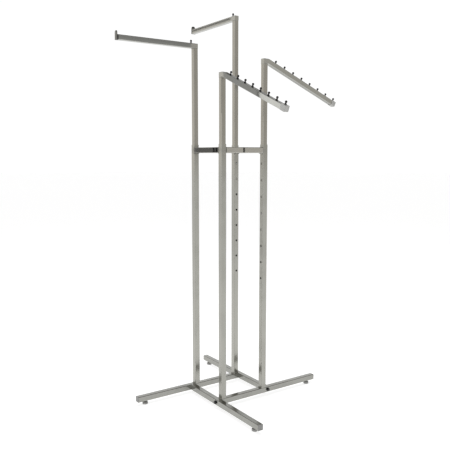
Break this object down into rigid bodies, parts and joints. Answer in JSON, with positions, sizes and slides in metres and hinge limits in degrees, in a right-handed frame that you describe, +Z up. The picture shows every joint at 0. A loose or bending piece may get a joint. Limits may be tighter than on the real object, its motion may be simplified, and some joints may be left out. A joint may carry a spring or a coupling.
{
  "type": "four way clothing rack",
  "caption": "Chrome garment rack: a square cage of posts on pinwheel legs, with sliding masts that carry level and slanted arms.",
  "frame": {"origin": "on the floor, under the middle of the square cage of posts", "axes": "+Z up; +X the way the right arm points, +Y the way the back arm points"},
  "size_m": [1.0562, 1.0562, 1.8238],
  "materials": {
    "leg_chrome": "chrome plate, light scuffs",
    "post_chrome": "chrome plate",
    "ring_chrome": "chrome plate",
    "mast_chrome": "chrome plate, fine drawn lines",
    "arm_chrome": "chrome plate",
    "plug_grey": "moulded, grained",
    "cap_grey": "moulded, grained",
    "collar_black": "moulded",
    "foot_black": "moulded, scuffed underneath",
    "stud_black": "black, glossy",
    "bolt_black": "black oxide",
    "button_steel": "turned",
    "spring_steel": "blued",
    "zinc": "zinc plate"
  },
  "bodies": {
    "base": {"left_leg": "leg_chrome", "front_leg": "leg_chrome", "right_leg": "leg_chrome", "back_leg": "leg_chrome", "left_leg_plug": "plug_grey", "front_leg_plug": "plug_grey", "right_leg_plug": "plug_grey", "back_leg_plug": "plug_grey", "foot_nuts": "zinc", "base_bolts": "bolt_black", "base_bolt_blocks": "zinc", "left_post": "post_chrome", "front_post": "post_chrome", "right_post": "post_chrome", "back_post": "post_chrome", "ring_bar_back": "ring_chrome", "ring_bar_front": "ring_chrome", "ring_bar_left": "ring_chrome", "ring_bar_right": "ring_chrome", "ring_spigots": "zinc", "ring_screws": "bolt_black"},
    "left_mast_unit": {"left_mast": "mast_chrome", "left_arm": "arm_chrome", "left_button_spring": "spring_steel", "left_arm_stud": "stud_black", "left_arm_plate": "arm_chrome", "left_arm_collar": "collar_black"},
    "left_button_unit": {"left_button": "button_steel"},
    "left_foot": {"left_foot_pad": "foot_black", "left_foot_stem": "zinc"},
    "front_mast_unit": {"front_mast": "mast_chrome", "front_arm": "arm_chrome", "front_button_spring": "spring_steel", "front_arm_studs": "stud_black", "front_arm_cap": "cap_grey"},
    "front_button_unit": {"front_button": "button_steel"},
    "front_foot": {"front_foot_pad": "foot_black", "front_foot_stem": "zinc"},
    "right_mast_unit": {"right_mast": "mast_chrome", "right_arm": "arm_chrome", "right_button_spring": "spring_steel", "right_arm_studs": "stud_black", "right_arm_cap": "cap_grey"},
    "right_button_unit": {"right_button": "button_steel"},
    "right_foot": {"right_foot_pad": "foot_black", "right_foot_stem": "zinc"},
    "back_mast_unit": {"back_mast": "mast_chrome", "back_arm": "arm_chrome", "back_button_spring": "spring_steel", "back_arm_stud": "stud_black", "back_arm_plate": "arm_chrome", "back_arm_collar": "collar_black"},
    "back_button_unit": {"back_button": "button_steel"},
    "back_foot": {"back_foot_pad": "foot_black", "back_foot_stem": "zinc"}
  },
  "joints": [
    {"name": "left_mast_slide", "type": "slide", "parent": "base", "child": "left_mast_unit", "axis": [0, 0, 1], "range_m": [-0.381, 0.1524], "deforming": ["left_button"]},
    {"name": "left_button_press", "type": "slide", "parent": "left_mast_unit", "child": "left_button_unit", "axis": [-1, 0, 0], "range_m": [0, 0.0046], "stiffness_N_per_m": 1500, "springref_m": -0.003, "deforming": ["left_button_spring"]},
    {"name": "left_foot_screw", "type": "slide", "parent": "base", "child": "left_foot", "axis": [0, 0, -1], "range_m": [-0.004, 0.008]},
    {"name": "front_mast_slide", "type": "slide", "parent": "base", "child": "front_mast_unit", "axis": [0, 0, 1], "range_m": [-0.2286, 0.3048], "deforming": ["front_button"]},
    {"name": "front_button_press", "type": "slide", "parent": "front_mast_unit", "child": "front_button_unit", "axis": [0, -1, 0], "range_m": [0, 0.0046], "stiffness_N_per_m": 1500, "springref_m": -0.003, "deforming": ["front_button_spring"]},
    {"name": "front_foot_screw", "type": "slide", "parent": "base", "child": "front_foot", "axis": [0, 0, -1], "range_m": [-0.004, 0.008]},
    {"name": "right_mast_slide", "type": "slide", "parent": "base", "child": "right_mast_unit", "axis": [0, 0, 1], "range_m": [-0.3048, 0.2286], "deforming": ["right_button"]},
    {"name": "right_button_press", "type": "slide", "parent": "right_mast_unit", "child": "right_button_unit", "axis": [1, 0, 0], "range_m": [0, 0.0046], "stiffness_N_per_m": 1500, "springref_m": -0.003, "deforming": ["right_button_spring"]},
    {"name": "right_foot_screw", "type": "slide", "parent": "base", "child": "right_foot", "axis": [0, 0, -1], "range_m": [-0.004, 0.008]},
    {"name": "back_mast_slide", "type": "slide", "parent": "base", "child": "back_mast_unit", "axis": [0, 0, 1], "range_m": [-0.5334, 0], "deforming": ["back_button"]},
    {"name": "back_button_press", "type": "slide", "parent": "back_mast_unit", "child": "back_button_unit", "axis": [0, 1, 0], "range_m": [0, 0.0046], "stiffness_N_per_m": 1500, "springref_m": -0.003, "deforming": ["back_button_spring"]},
    {"name": "back_foot_screw", "type": "slide", "parent": "base", "child": "back_foot", "axis": [0, 0, -1], "range_m": [-0.004, 0.008]}
  ]
}
